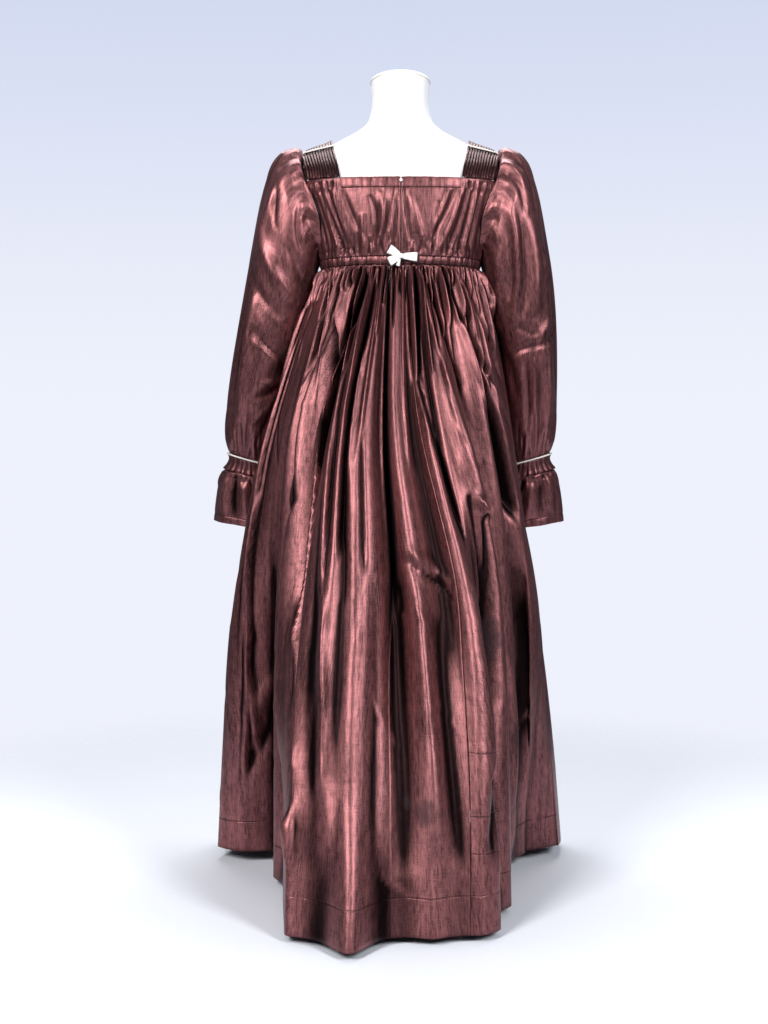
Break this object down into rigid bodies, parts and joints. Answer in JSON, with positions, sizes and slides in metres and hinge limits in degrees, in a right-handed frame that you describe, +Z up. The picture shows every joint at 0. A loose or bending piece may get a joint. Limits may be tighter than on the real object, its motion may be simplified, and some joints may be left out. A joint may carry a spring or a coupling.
{
  "type": "regency gown on dress form",
  "caption": "High-waisted long-sleeved gown of dark copper shot silk, gathered behind into a short train, on a limbless white dress form with a round base.",
  "frame": {"origin": "middle of the whole object's bounding box, at the floor under the stand's base", "axes": "+Z up; the gown faces -Y, its gathered back and train point to +Y, and the gown's left side is at +X"},
  "size_m": [0.666, 0.7624, 1.4015],
  "materials": {
    "silk": "shot silk taffeta, dark brown warp and copper-red weft, crisp with a soft lustre",
    "cord": "white cotton piping cord",
    "tape": "off-white woven cotton tape",
    "form": "smooth white stretch jersey cover",
    "stand": "satin light grey paint"
  },
  "bodies": {
    "root": {"bodice_back_left": "silk", "bodice_back_right": "silk", "bodice_front": "silk", "neck_band_left": "silk", "neck_band_right": "silk", "neck_band_front": "silk", "strap_back_left": "silk", "strap_back_right": "silk", "strap_front_left": "silk", "strap_front_right": "silk", "waist_casing": "silk", "sleeve_left": "silk", "sleeve_right": "silk", "wrist_band_left": "silk", "wrist_band_right": "silk", "cuff_left": "silk", "cuff_right": "silk", "skirt_back": "silk", "skirt_side_left": "silk", "skirt_side_right": "silk", "skirt_front": "silk", "wrist_piping_left": "cord", "wrist_piping_right": "cord", "shoulder_piping_left": "cord", "shoulder_piping_right": "cord", "bow_loop_left": "tape", "bow_loop_low": "tape", "bow_loop_right": "tape", "bow_tail": "tape", "bow_knot": "tape", "neck_button": "tape", "form_torso": "form", "form_neck_cap": "form", "form_pole": "stand", "form_base": "stand"}
  },
  "joints": []
}
